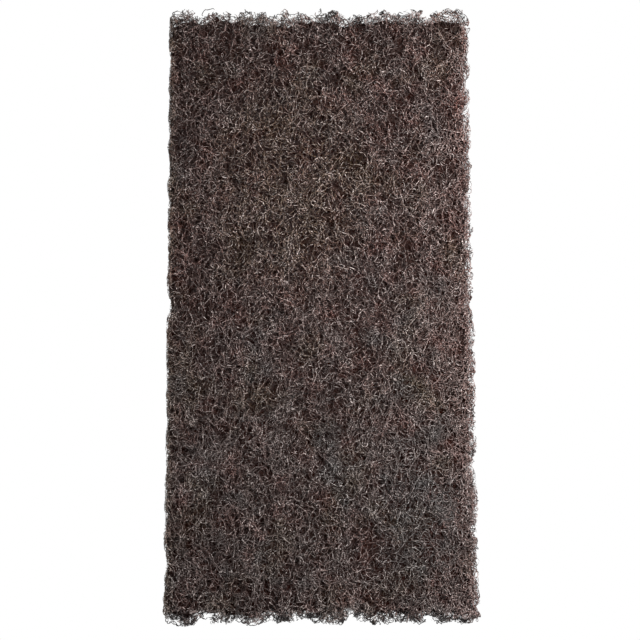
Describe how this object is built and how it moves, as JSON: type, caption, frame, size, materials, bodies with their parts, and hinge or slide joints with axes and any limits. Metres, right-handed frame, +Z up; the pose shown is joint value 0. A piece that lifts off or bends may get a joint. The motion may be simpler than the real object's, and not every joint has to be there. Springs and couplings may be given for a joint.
{
  "type": "scouring pad",
  "caption": "Thick rectangular hand pad of coarse crimped fibre web, ragged at its cut edges, for scouring and stripping flat surfaces.",
  "frame": {"origin": "middle of the underside, on the surface that the pad lies on", "axes": "+X across the pad, +Y along its length away from the viewer, +Z up through its thickness"},
  "size_m": [0.125, 0.25, 0.022],
  "materials": {
    "fibre_web": "coarse open web of crimped nylon fibre with resin and abrasive grit, dark brown, dull with small glints"
  },
  "bodies": {
    "root": {"scouring_pad": "fibre_web"}
  },
  "joints": []
}
